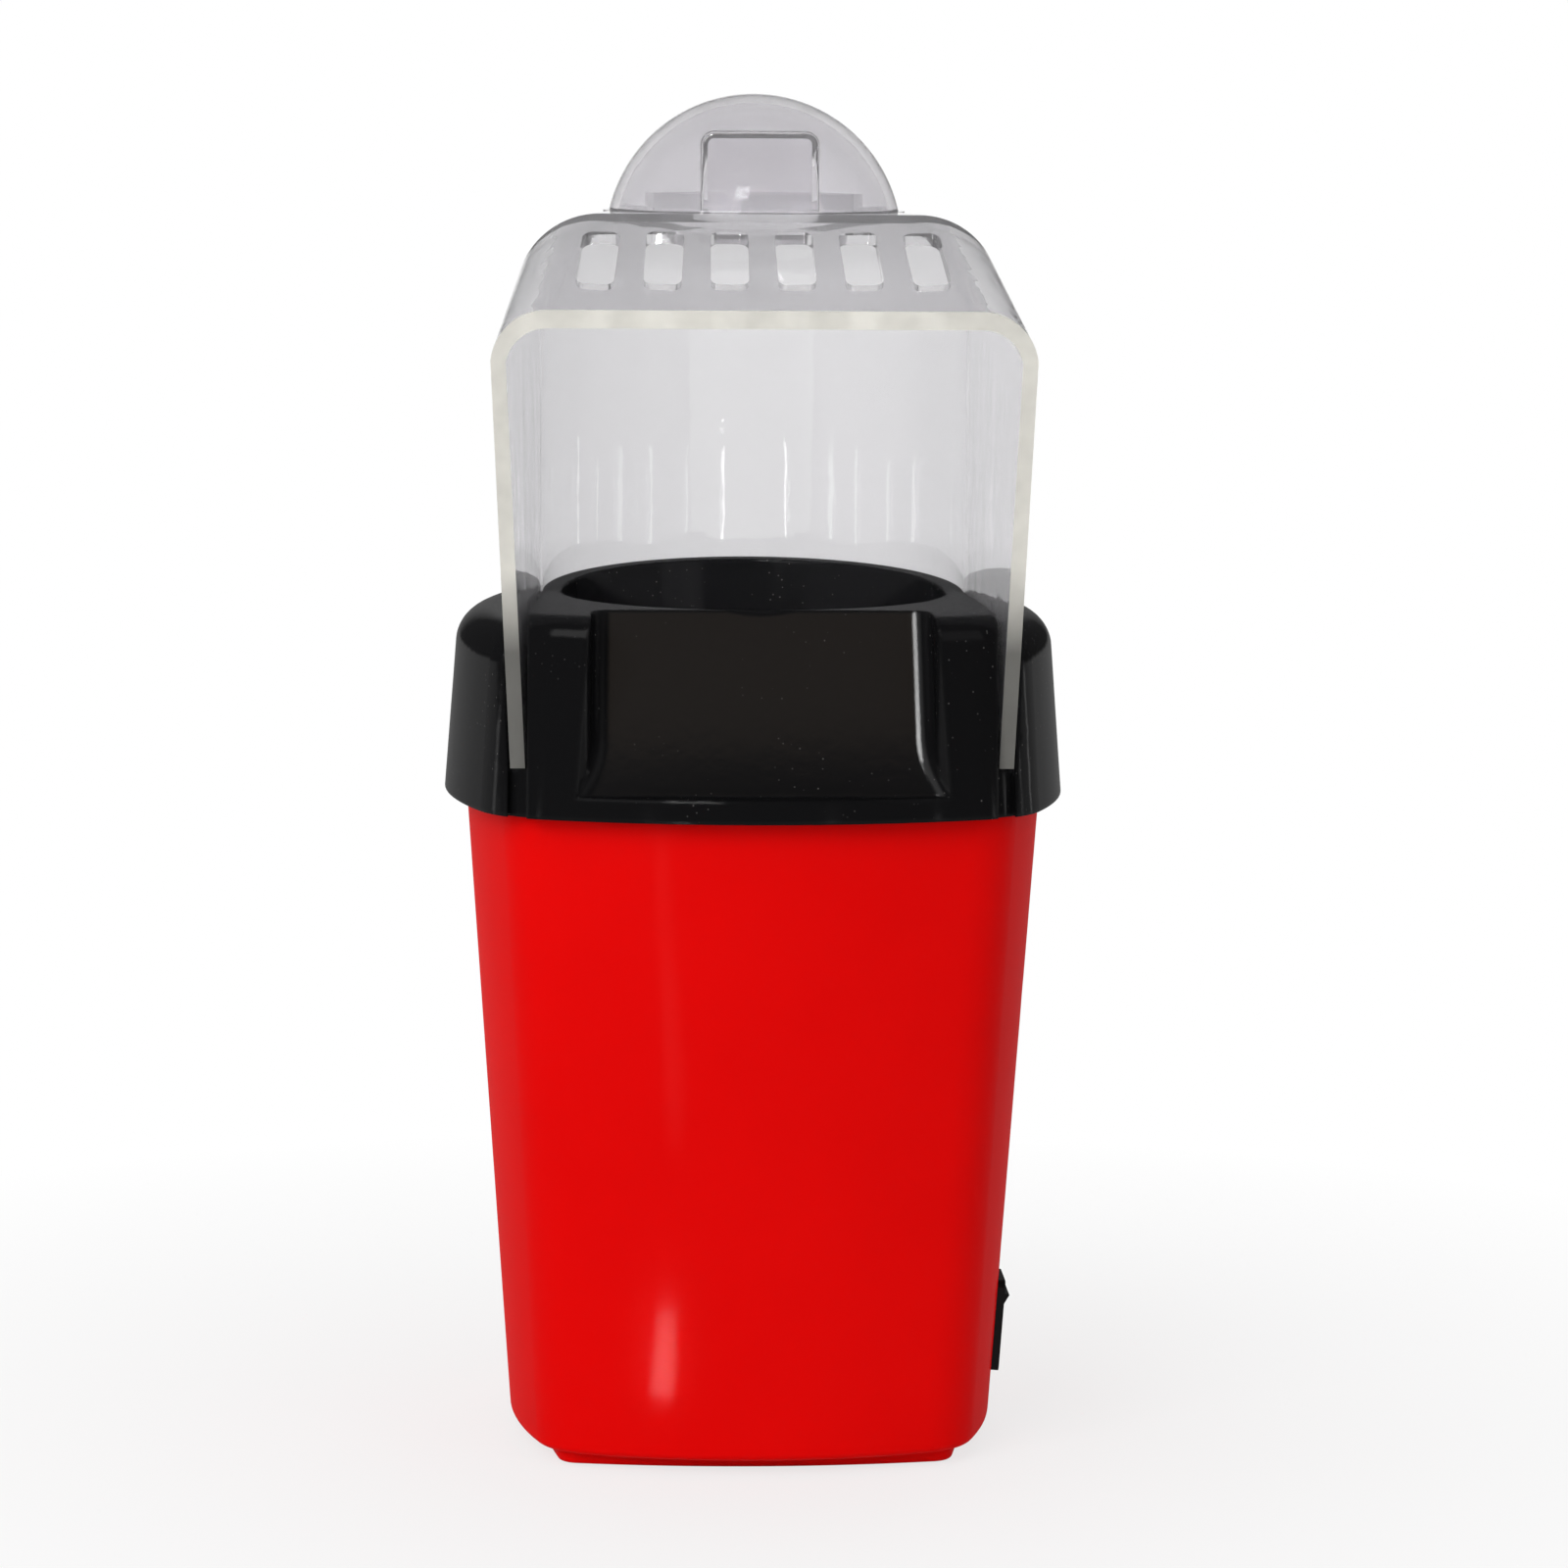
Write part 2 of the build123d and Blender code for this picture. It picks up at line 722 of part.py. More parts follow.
# Measuring cap: a dome with a hollow grip at its front
with BuildPart() as measuring_cap:
    with BuildSketch(Plane.XZ.offset(grip_reach - cap_y)) as grip_front:
        with BuildLine():
            Polyline(
                (-grip_width / 2, hood_top_z + grip_lift),
                (grip_width / 2, hood_top_z + grip_lift),
                (grip_width / 2, hood_top_z + grip_height),
                (-grip_width / 2, hood_top_z + grip_height),
                close=True,
            )
        make_face()
        fillet(grip_front.vertices().group_by(Axis.Y)[-1], grip_round)
    extrude(amount=-grip_reach)
    fillet(measuring_cap.faces().sort_by(Axis.Y)[0].edges().sort_by(Axis.Z)[1:], grip_edge_round)
    with BuildSketch(Plane.XZ.offset(grip_reach - cap_y - grip_wall)) as grip_inside:
        inside_half = grip_width / 2 - grip_wall
        with BuildLine():
            Polyline(
                (-inside_half, hood_top_z - grip_lift),
                (inside_half, hood_top_z - grip_lift),
                (inside_half, hood_top_z + grip_height - grip_wall),
                (-inside_half, hood_top_z + grip_height - grip_wall),
                close=True,
            )
        make_face()
        fillet(grip_inside.vertices().group_by(Axis.Y)[-1], grip_round - grip_wall)
    extrude(amount=-grip_reach, mode=Mode.SUBTRACT)
    with Locations((0, cap_y, cap_centre_z)):
        Sphere(cap_radius)
        Sphere(cap_radius - cap_wall, mode=Mode.SUBTRACT)
    with Locations((0, cap_y, hood_top_z)):
        Box(4 * cap_radius, 4 * cap_radius, 2 * cap_radius, align=high, mode=Mode.SUBTRACT)

# Popping chamber with its ring of slanted air vents
chamber_outer = chamber_radius + chamber_wall
cone_radius = chamber_radius * 2 / 3
with BuildPart() as popping_chamber:
    with BuildSketch(Plane.XZ):
        with BuildLine():
            Polyline(
                (0, chamber_floor_z + chamber_cone_height),
                (cone_radius, chamber_floor_z),
                (chamber_radius, chamber_floor_z),
                (chamber_radius, chamber_top_z),
                (chamber_flange_radius, chamber_top_z),
                (chamber_flange_radius, flange_bottom_z),
                (chamber_outer, flange_bottom_z),
                (chamber_outer, chamber_floor_z - chamber_wall),
                (cone_radius, chamber_floor_z - chamber_wall),
                (0, chamber_floor_z + chamber_cone_height - chamber_wall),
                close=True,
            )
        make_face()
    revolve(axis=Axis.Z)
    with Locations((0, 0, chamber_floor_z + vent_lift + vent_height / 2)):
        with PolarLocations(chamber_radius + chamber_wall / 2, vent_count):
            Box(4 * chamber_wall, vent_width, vent_height, rotation=(vent_lean, 0, 0), mode=Mode.SUBTRACT)
    with Locations(*[(x, y, flange_bottom_z) for x, y in chamber_screw_places]):
        Cylinder(chamber_screw_radius + screw_clearance, chamber_flange, align=low, mode=Mode.SUBTRACT)

with BuildPart() as chamber_gasket:
    with BuildSketch(Plane.XY.offset(duct_top_z)):
        Circle(gasket_outer)
        Circle(gasket_inner, mode=Mode.SUBTRACT)
    extrude(amount=gasket_thickness)

chamber_screw_plane = Plane((0, 0, flange_bottom_z), x_dir=(1, 0, 0), z_dir=(0, 0, -1))
with BuildPart() as chamber_screws:
    add(
        screw(
            chamber_screw_plane,
            [(x, -y) for x, y in chamber_screw_places],
            chamber_screw_head,
            screw_head_height,
            chamber_screw_radius,
            chamber_screw_length,
        )
    )

with BuildPart() as air_duct:
    with BuildSketch(Plane.XY.offset(frame_shoulder_z)):
        Circle(duct_outer)
        Circle(duct_radius, mode=Mode.SUBTRACT)
    extrude(amount=duct_top_z - frame_shoulder_z)

# Fan frame: a ring on four legs with a hub for the motor
motor_screw_places = [(-motor_screw_place, 0), (motor_screw_place, 0)]
with BuildPart() as fan_frame:
    with BuildSketch(Plane.XY.offset(frame_bottom_z)):
        Circle(frame_outer)
        Circle(frame_bore, mode=Mode.SUBTRACT)
    extrude(amount=frame_shoulder_z - frame_bottom_z)
    with BuildSketch(Plane.XY.offset(frame_shoulder_z)):
        Circle(duct_radius - duct_clearance)
        Circle(frame_bore, mode=Mode.SUBTRACT)
    extrude(amount=frame_top_z - frame_shoulder_z)
    with BuildSketch(Plane.XY.offset(frame_bottom_z)):
        Circle(frame_hub_radius)
        with PolarLocations((frame_bore + frame_hub_radius) / 2, 4, start_angle=45):
            Rectangle(frame_bore - frame_hub_radius + spoke_width, spoke_width)
        Circle(bearing_radius + bearing_clearance, mode=Mode.SUBTRACT)
        with Locations(*motor_screw_places):
            Circle(motor_screw_radius + screw_clearance, mode=Mode.SUBTRACT)
    extrude(amount=frame_floor)
    with Locations(*[(x, y, flange_top_z) for x, y in screw_places]):
        Cylinder(frame_leg_radius, frame_bottom_z - flange_top_z, align=low)
        Cylinder(screw_shank_radius + thread_clearance, screw_length, align=low, mode=Mode.SUBTRACT)

# Fan wheel on the motor's shaft
with BuildPart() as fan_wheel:
    with Locations((0, 0, fan_bottom_z)):
        Cylinder(fan_hub_radius, fan_hub_height, align=low)
    with Locations((0, 0, fan_bottom_z + fan_hub_height / 2)):
        with PolarLocations((blade_radius + fan_hub_radius / 2) / 2, blade_count):
            Box(
                blade_radius - fan_hub_radius / 2,
                blade_thickness,
                blade_height,
                rotation=(blade_pitch, 0, 0),
            )
    with Locations((0, 0, fan_bottom_z)):
        Cylinder(shaft_radius, fan_hub_height, align=low, mode=Mode.SUBTRACT)

bearing_bottom_z = frame_bottom_z + bearing_proud - bearing_length
shaft_bottom_z = motor_bottom_z + end_cap_thickness
with BuildPart() as motor_shaft:
    with Locations((0, 0, shaft_bottom_z)):
        Cylinder(shaft_radius, fan_bottom_z + fan_hub_height - shaft_bottom_z, align=low)

with BuildPart() as motor_bearing:
    with Locations((0, 0, bearing_bottom_z)):
        Cylinder(bearing_radius, bearing_length, align=low)
        Cylinder(shaft_radius + shaft_clearance, bearing_length, align=low, mode=Mode.SUBTRACT)

with BuildPart() as motor_can:
    with Locations((0, 0, motor_bottom_z)):
        Cylinder(motor_radius, motor_length, align=low)
    fillet(motor_can.edges().sort_by(Axis.Z)[-1], motor_edge_round)
    with Locations((0, 0, bearing_bottom_z)):
        Cylinder(bearing_radius, bearing_length, align=low, mode=Mode.SUBTRACT)
    with Locations((0, 0, motor_bottom_z + end_cap_thickness / 2)):
        Cylinder(shaft_radius + screw_clearance, motor_length / 2, align=low, mode=Mode.SUBTRACT)
        Cylinder(bearing_radius, bearing_bottom_z - motor_bottom_z, align=low, mode=Mode.SUBTRACT)
    with Locations(*[(x, y, frame_bottom_z) for x, y in motor_screw_places]):
        Cylinder(motor_screw_radius + thread_clearance, motor_screw_length, align=high, mode=Mode.SUBTRACT)

with BuildPart() as motor_end_cap:
    with Locations((0, 0, end_cap_bottom_z)):
        Cylinder(end_cap_radius, end_cap_thickness, align=low)

with BuildPart() as motor_screws:
    add(
        screw(
            Plane.XY.offset(hub_top_z),
            motor_screw_places,
            motor_screw_head,
            screw_head_height,
            motor_screw_radius,
            motor_screw_length,
        )
    )

# Rectifier under the motor
with BuildPart() as rectifier_board:
    with Locations((0, 0, rectifier_bottom_z)):
        Cylinder(board_radius, board_thickness, align=low)

with BuildPart() as rectifier_diodes:
    with Locations((0, 0, rectifier_bottom_z - diode_radius)):
        with GridLocations(diode_place, diode_place, 2, 2):
            Box(diode_length, 2 * diode_radius, 2 * diode_radius)

# Heater: two interlocking boards and a flat spiral of resistance wire
mica_half = duct_radius - mica_end_gap
lap_width = mica_thickness + 2 * mica_slot_gap
with BuildPart() as heater_board_long:
    with Locations((0, 0, frame_top_z)):
        Box(2 * mica_half, mica_thickness, mica_height, align=low)
    with Locations((0, 0, frame_top_z + mica_height / 2)):
        Box(lap_width, lap_width, mica_height, align=low, mode=Mode.SUBTRACT)

with BuildPart() as heater_board_cross:
    with Locations((0, 0, frame_top_z)):
        Box(mica_thickness, 2 * mica_half, mica_height, align=low)
    with Locations((0, 0, frame_top_z + mica_height / 2)):
        Box(lap_width, lap_width, mica_height, align=high, mode=Mode.SUBTRACT)

with BuildPart() as heater_coil:
    with BuildLine(Plane.XY.offset(coil_z)) as coil_path:
        turn_x = coil_inner
        side = 1
        for half_turn in range(coil_half_turns):
            turn_radius = coil_inner + half_turn * coil_step / 2
            next_x = turn_x - 2 * side * turn_radius
            ThreePointArc((turn_x, 0), (turn_x - side * turn_radius, side * turn_radius), (next_x, 0))
            turn_x = next_x
            side = -side
    with BuildSketch(Plane((coil_inner, 0, coil_z), x_dir=(1, 0, 0), z_dir=(0, 1, 0))):
        Circle(coil_wire)
    sweep()

# Thermostat and thermal fuse on the outside of the duct
with BuildPart() as thermostat:
    with BuildSketch(Plane((-duct_outer - part_gap, 0, thermostat_z), x_dir=(0, 1, 0), z_dir=(-1, 0, 0))):
        Circle(thermostat_radius)
    extrude(amount=thermostat_height)
    fillet(thermostat.edges().sort_by(Axis.X)[0], pivot_radius)

with BuildPart() as thermal_fuse:
    with Locations((0, duct_outer + part_gap + fuse_radius, thermostat_z)):
        Cylinder(fuse_radius, fuse_length)
        Cylinder(fuse_lead_radius, fuse_length + 2 * fuse_lead)

# Rocker switch
pivot = switch_plane.from_local_coords(Vector(0, 0, rocker_pivot))
pivot_plane = Plane(origin=pivot, x_dir=switch_plane.y_dir, z_dir=(0, 1, 0))
rest_angle = math.radians(rocker_rest_angle)
rest_up = switch_plane.y_dir * math.cos(rest_angle) + switch_plane.z_dir * math.sin(rest_angle)
rocker_plane = Plane(origin=pivot, x_dir=rest_up, z_dir=(0, 1, 0))
with BuildPart() as switch_housing:
    with BuildSketch(switch_plane):
        RectangleRounded(bezel_width, bezel_height, bezel_round)
    extrude(amount=bezel_thickness)
    with BuildSketch(switch_plane):
        Rectangle(switch_body_width, switch_body_height)
    extrude(amount=-switch_body_depth)
    with BuildSketch(switch_plane.offset(bezel_thickness)):
        Rectangle(window_width, window_height)
    extrude(amount=-window_depth, mode=Mode.SUBTRACT)
    with BuildSketch(pivot_plane):
        Circle(pivot_radius + pivot_clearance)
    extrude(amount=rocker_width / 2 + pivot_reach + pivot_clearance, both=True, mode=Mode.SUBTRACT)

with BuildPart() as switch_rocker:
    with BuildSketch(rocker_plane):
        with BuildLine():
            ThreePointArc((-rocker_half, rocker_tip), (0, rocker_dip), (rocker_half, rocker_tip))
            Polyline(
                (rocker_half, rocker_tip),
                (rocker_half, rocker_shoulder),
                (rocker_belly, -rocker_depth),
                (-rocker_belly, -rocker_depth),
                (-rocker_half, rocker_shoulder),
                (-rocker_half, rocker_tip),
            )
        make_face()
    extrude(amount=rocker_width / 2, both=True)
    with BuildSketch(pivot_plane):
        Circle(pivot_radius)
    extrude(amount=rocker_width / 2 + pivot_reach, both=True)

with BuildPart() as switch_terminals:
    with BuildSketch(switch_plane.offset(-switch_body_depth)):
        with Locations((0, -terminal_place), (0, terminal_place)):
            Rectangle(terminal_width, terminal_thickness)
    extrude(amount=-terminal_length)

# Bush where the mains lead enters
with BuildPart() as cord_gland:
    with BuildSketch(gland_plane):
        Circle(gland_flange)
    extrude(amount=gland_flange_thickness)
    fillet(cord_gland.edges().sort_by(Axis.Y)[-1], bezel_round / 2)
    with BuildSketch(gland_plane):
        Circle(gland_shank)
    extrude(amount=-body_wall - gland_inner_reach)
    with BuildSketch(gland_plane):
        Circle(gland_bore)
    extrude(amount=body_wall * 8, both=True, mode=Mode.SUBTRACT)

# One file for every piece
pieces = {
    "body_shell": body_shell,
    "base_cover": base_cover,
    "rubber_feet": rubber_feet,
    "base_screws": base_screws,
    "top_collar": top_collar,
    "hood": hood,
    "measuring_cap": measuring_cap,
    "popping_chamber": popping_chamber,
    "chamber_gasket": chamber_gasket,
    "chamber_screws": chamber_screws,
    "air_duct": air_duct,
    "fan_frame": fan_frame,
    "fan_wheel": fan_wheel,
    "motor_shaft": motor_shaft,
    "motor_bearing": motor_bearing,
    "motor_can": motor_can,
    "motor_end_cap": motor_end_cap,
    "motor_screws": motor_screws,
    "rectifier_board": rectifier_board,
    "rectifier_diodes": rectifier_diodes,
    "heater_board_long": heater_board_long,
    "heater_board_cross": heater_board_cross,
    "heater_coil": heater_coil,
    "thermostat": thermostat,
    "thermal_fuse": thermal_fuse,
    "switch_housing": switch_housing,
    "switch_rocker": switch_rocker,
    "switch_terminals": switch_terminals,
    "cord_gland": cord_gland,
}
os.makedirs("parts", exist_ok=True)
for name, piece in pieces.items():
    piece.part.label = name
    export_step(piece.part, f"parts/{name}.step")
    print(name, round(piece.part.volume), piece.part.is_valid, len(piece.part.solids()))
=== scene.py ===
import math

import bpy
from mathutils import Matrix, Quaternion, Vector

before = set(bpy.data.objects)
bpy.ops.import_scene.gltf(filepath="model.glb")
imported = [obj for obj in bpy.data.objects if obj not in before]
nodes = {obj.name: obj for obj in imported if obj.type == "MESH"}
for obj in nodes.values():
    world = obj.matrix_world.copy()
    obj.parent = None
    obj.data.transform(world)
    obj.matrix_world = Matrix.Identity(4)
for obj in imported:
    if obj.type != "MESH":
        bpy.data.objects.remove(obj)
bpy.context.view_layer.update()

# The hood's cut front edge, in metres: it lies in front of this Y, and its colour pales upwards between these
# heights, with painted shade below, where it sits against the black collar
hood_edge_y = -0.05592
hood_edge_full_shade_z = 0.17
hood_edge_shade_end_z = 0.21


# Small helpers for node materials
def new_material(name):
    """An empty node material with its shader and object coordinates."""
    mat = bpy.data.materials.new(name)
    mat.use_nodes = True
    tree = mat.node_tree
    tree.nodes.clear()
    out = tree.nodes.new("ShaderNodeOutputMaterial")
    shader = tree.nodes.new("ShaderNodeBsdfPrincipled")
    coords = tree.nodes.new("ShaderNodeTexCoord")
    tree.links.new(shader.outputs["BSDF"], out.inputs["Surface"])
    return mat, tree, shader, coords


def noise(tree, coords, scale, detail=3.0, rough=0.55, stretch=(1.0, 1.0, 1.0)):
    """Noise over object coordinates, in cells per metre, stretched along an axis where asked."""
    mapping = tree.nodes.new("ShaderNodeMapping")
    mapping.inputs["Scale"].default_value = stretch
    tree.links.new(coords.outputs["Object"], mapping.inputs["Vector"])
    node = tree.nodes.new("ShaderNodeTexNoise")
    node.inputs["Scale"].default_value = scale
    node.inputs["Detail"].default_value = detail
    node.inputs["Roughness"].default_value = rough
    tree.links.new(mapping.outputs["Vector"], node.inputs["Vector"])
    return node.outputs["Fac"]


def ramp(tree, value, stops):
    """Colours or greys at places along a value."""
    node = tree.nodes.new("ShaderNodeValToRGB")
    elements = node.color_ramp.elements
    while len(elements) < len(stops):
        elements.new(0.5)
    for element, (place, colour) in zip(elements, stops):
        element.position = place
        element.color = (*colour, 1.0) if len(colour) == 3 else colour
    tree.links.new(value, node.inputs["Fac"])
    return node.outputs["Color"]


def grey(level):
    return (level, level, level)


def span(tree, value, low, high, start=0.3, end=0.7):
    """A value moved into a range."""
    node = tree.nodes.new("ShaderNodeMapRange")
    node.inputs["From Min"].default_value = start
    node.inputs["From Max"].default_value = end
    node.inputs["To Min"].default_value = low
    node.inputs["To Max"].default_value = high
    tree.links.new(value, node.inputs["Value"])
    return node.outputs["Result"]


def mixed(tree, amount, first, second, how="MIX"):
    """Two colours blended, by a number or a value."""
    node = tree.nodes.new("ShaderNodeMix")
    node.data_type = "RGBA"
    node.blend_type = how
    factor, colour_a, colour_b, result = node.inputs[0], node.inputs[6], node.inputs[7], node.outputs[2]
    if isinstance(amount, float):
        factor.default_value = amount
    else:
        tree.links.new(amount, factor)
    tree.links.new(first, colour_a)
    tree.links.new(second, colour_b)
    return result


def bump(tree, shader, height, strength, distance):
    node = tree.nodes.new("ShaderNodeBump")
    node.inputs["Strength"].default_value = strength
    node.inputs["Distance"].default_value = distance
    tree.links.new(height, node.inputs["Height"])
    tree.links.new(node.outputs["Normal"], shader.inputs["Normal"])
    return node


def soft_edges(tree, bump_node, radius):
    """Softens the shading of moulded edges under a bump."""
    node = tree.nodes.new("ShaderNodeBevel")
    node.samples = 4
    node.inputs["Radius"].default_value = radius
    tree.links.new(node.outputs["Normal"], bump_node.inputs["Normal"])


def lacquer(tree, shader, skin, weight, rough):
    """A thin gloss over the skin that keeps sideways reflections low."""
    shader.inputs["Specular IOR Level"].default_value = 0.0
    shader.inputs["Coat Weight"].default_value = weight
    shader.inputs["Coat Roughness"].default_value = rough
    tree.links.new(skin.outputs["Normal"], shader.inputs["Coat Normal"])


def moulded(name, dark, light, rough, gloss, gloss_rough, peel=0.03, edge=0.0005):
    """Moulded plastic: slight mottling, uneven gloss and a faint orange peel."""
    mat, tree, shader, coords = new_material(name)
    mottle = ramp(tree, noise(tree, coords, 14.0), [(0.3, dark), (0.7, light)])
    tree.links.new(mottle, shader.inputs["Base Color"])
    tree.links.new(span(tree, noise(tree, coords, 60.0), rough[0], rough[1]), shader.inputs["Roughness"])
    skin = bump(tree, shader, noise(tree, coords, 420.0, detail=2.0), peel, 0.0006)
    soft_edges(tree, skin, edge)
    lacquer(tree, shader, skin, gloss, gloss_rough)
    return mat


def dusty_black(name, clean=(0.006, 0.006, 0.0065), dust=(0.16, 0.155, 0.15)):
    """Glossy black plastic with fine specks of dust in patches."""
    mat, tree, shader, coords = new_material(name)
    cells = tree.nodes.new("ShaderNodeTexVoronoi")
    cells.inputs["Scale"].default_value = 520.0
    tree.links.new(coords.outputs["Object"], cells.inputs["Vector"])
    specks = ramp(tree, cells.outputs["Distance"], [(0.07, grey(1.0)), (0.12, grey(0.0))])
    patches = ramp(tree, noise(tree, coords, 45.0), [(0.48, grey(0.0)), (0.66, grey(0.55))])
    amount = tree.nodes.new("ShaderNodeMath")
    amount.operation = "MULTIPLY"
    tree.links.new(specks, amount.inputs[0])
    tree.links.new(patches, amount.inputs[1])
    tree.links.new(ramp(tree, amount.outputs["Value"], [(0.0, clean), (1.0, dust)]), shader.inputs["Base Color"])
    tree.links.new(span(tree, noise(tree, coords, 70.0), 0.07, 0.15), shader.inputs["Roughness"])
    skin = bump(tree, shader, noise(tree, coords, 300.0, detail=2.0), 0.012, 0.0006)
    soft_edges(tree, skin, 0.0012)
    lacquer(tree, shader, skin, 0.13, 0.07)
    return mat


def clear_plastic(name, tint, edge_y=None):
    """Clear moulded plastic, faintly streaked, with a frosted cut edge in front of edge_y whose colour holds
    painted shade towards its bottom.
    """
    mat, tree, shader, coords = new_material(name)
    shader.inputs["IOR"].default_value = 1.45
    cast = ramp(
        tree,
        noise(tree, coords, 30.0, stretch=(1.0, 1.0, 0.15)),
        [(0.3, tint), (0.7, tuple(min(1.0, c * 1.06) for c in tint))],
    )
    haze = span(tree, noise(tree, coords, 25.0, stretch=(1.0, 1.0, 0.2)), 0.01, 0.04)
    bump(tree, shader, noise(tree, coords, 90.0, detail=2.0, stretch=(1.0, 1.0, 0.25)), 0.05, 0.0008)
    if edge_y is None:
        shader.inputs["Transmission Weight"].default_value = 0.93
        tree.links.new(cast, shader.inputs["Base Color"])
        tree.links.new(haze, shader.inputs["Roughness"])
        return mat
    split = tree.nodes.new("ShaderNodeSeparateXYZ")
    tree.links.new(coords.outputs["Object"], split.inputs["Vector"])
    edge_blend = 0.00005
    edge = span(tree, split.outputs["Y"], 1.0, 0.0, edge_y, edge_y + edge_blend)
    # Painted shade: the cut edge is coloured dark grey low down and pales to cream upwards, standing in for the
    # shade of the black collar behind it.
    painted_shade_fade = span(tree, split.outputs["Z"], 0.0, 1.0, hood_edge_full_shade_z, hood_edge_shade_end_z)
    cream_with_painted_shade = ramp(tree, painted_shade_fade, [(0.3, (0.17, 0.167, 0.152)), (0.75, (0.92, 0.9, 0.82))])
    patches = ramp(tree, noise(tree, coords, 75.0), [(0.38, grey(0.86)), (0.62, grey(1.0))])
    cream_with_painted_shade = mixed(tree, 1.0, cream_with_painted_shade, patches, "MULTIPLY")
    tree.links.new(mixed(tree, edge, cast, cream_with_painted_shade), shader.inputs["Base Color"])
    tree.links.new(span(tree, edge, 0.91, 0.25, 0.0, 1.0), shader.inputs["Transmission Weight"])
    worn = tree.nodes.new("ShaderNodeMath")
    worn.operation = "MULTIPLY_ADD"
    edge_rough = 0.4
    worn.inputs[1].default_value = edge_rough
    tree.links.new(edge, worn.inputs[0])
    tree.links.new(haze, worn.inputs[2])
    tree.links.new(worn.outputs["Value"], shader.inputs["Roughness"])
    return mat


def metal(name, dark, light, rough, stretch=(1.0, 1.0, 1.0), scale=500.0):
    """Bare metal with drawing marks along one way."""
    mat, tree, shader, coords = new_material(name)
    marks = noise(tree, coords, scale, detail=4.0, stretch=stretch)
    tree.links.new(ramp(tree, marks, [(0.3, dark), (0.7, light)]), shader.inputs["Base Color"])
    shader.inputs["Metallic"].default_value = 1.0
    tree.links.new(span(tree, marks, rough[0], rough[1]), shader.inputs["Roughness"])
    bump(tree, shader, marks, 0.08, 0.0002)
    return mat


def dull(name, dark, light, rough, scale=300.0):
    """Dull surface, such as rubber, board or pressed mineral sheet."""
    mat, tree, shader, coords = new_material(name)
    grain = noise(tree, coords, scale, detail=4.0)
    tree.links.new(ramp(tree, grain, [(0.3, dark), (0.7, light)]), shader.inputs["Base Color"])
    tree.links.new(span(tree, grain, rough[0], rough[1]), shader.inputs["Roughness"])
    shader.inputs["Specular IOR Level"].default_value = 0.3
    bump(tree, shader, grain, 0.15, 0.0003)
    return mat


red = moulded("red_gloss", (0.77, 0.0010, 0.0010), (0.83, 0.0016, 0.0014), (0.08, 0.14), 0.06, 0.15)
black = dusty_black("black_gloss")
switch_black = moulded(
    "switch_black", (0.006, 0.0065, 0.007), (0.011, 0.0115, 0.012), (0.2, 0.34), 0.15, 0.2, peel=0.08, edge=0.0003
)
clear = clear_plastic("hood_clear", (0.645, 0.64, 0.652), hood_edge_y)
clear_cap = clear_plastic("cap_clear", (0.73, 0.72, 0.738))
steel = metal("plated_steel", (0.50, 0.50, 0.51), (0.62, 0.62, 0.63), (0.22, 0.36))
duct_steel = metal("rolled_sheet", (0.48, 0.48, 0.49), (0.64, 0.64, 0.65), (0.25, 0.42), (0.05, 0.05, 1.0))
aluminium = metal("drawn_aluminium", (0.66, 0.66, 0.67), (0.82, 0.82, 0.83), (0.2, 0.38), (1.0, 1.0, 0.06))
brass = metal("turned_brass", (0.60, 0.42, 0.16), (0.74, 0.54, 0.24), (0.2, 0.34))
heater = metal("drawn_wire", (0.22, 0.20, 0.19), (0.36, 0.33, 0.31), (0.35, 0.5))
rubber = dull("black_rubber", (0.014, 0.014, 0.014), (0.028, 0.028, 0.028), (0.6, 0.8))
silicone = dull("red_silicone", (0.42, 0.06, 0.035), (0.52, 0.085, 0.05), (0.5, 0.65))
frame_dark = dull("frame_plastic", (0.035, 0.035, 0.036), (0.055, 0.055, 0.056), (0.45, 0.6))
fan_grey = dull("fan_plastic", (0.20, 0.20, 0.20), (0.27, 0.27, 0.27), (0.4, 0.55))
board = dull("board_green", (0.02, 0.14, 0.04), (0.035, 0.2, 0.06), (0.35, 0.5))
mica = dull("mica_sheet", (0.42, 0.37, 0.26), (0.62, 0.57, 0.43), (0.4, 0.6), 900.0)
ceramic = dull("plain_ceramic", (0.68, 0.66, 0.58), (0.78, 0.76, 0.69), (0.3, 0.45))

finishes = {
    "body_shell": red,
    "base_cover": red,
    "rubber_feet": rubber,
    "base_screws": steel,
    "top_collar": black,
    "hood": clear,
    "measuring_cap": clear_cap,
    "popping_chamber": aluminium,
    "chamber_gasket": silicone,
    "chamber_screws": steel,
    "air_duct": duct_steel,
    "fan_frame": frame_dark,
    "fan_wheel": fan_grey,
    "motor_shaft": steel,
    "motor_bearing": brass,
    "motor_can": duct_steel,
    "motor_end_cap": frame_dark,
    "motor_screws": steel,
    "rectifier_board": board,
    "rectifier_diodes": rubber,
    "heater_board_long": mica,
    "heater_board_cross": mica,
    "heater_coil": heater,
    "thermostat": ceramic,
    "thermal_fuse": brass,
    "switch_housing": switch_black,
    "switch_rocker": switch_black,
    "switch_terminals": brass,
    "cord_gland": rubber,
}
for name, node in nodes.items():
    for slot in node.material_slots:
        slot.material = finishes[name]

# Light passes through the clear pieces instead of being blocked by them
for name in ("hood", "measuring_cap"):
    nodes[name].visible_shadow = False


# Camera at the photograph's viewing angle
def look_at(obj, target, roll=0.0):
    turn = (Vector(target) - obj.location).to_track_quat("-Z", "Y")
    obj.rotation_euler = (turn @ Quaternion((0.0, 0.0, 1.0), math.radians(roll))).to_euler()


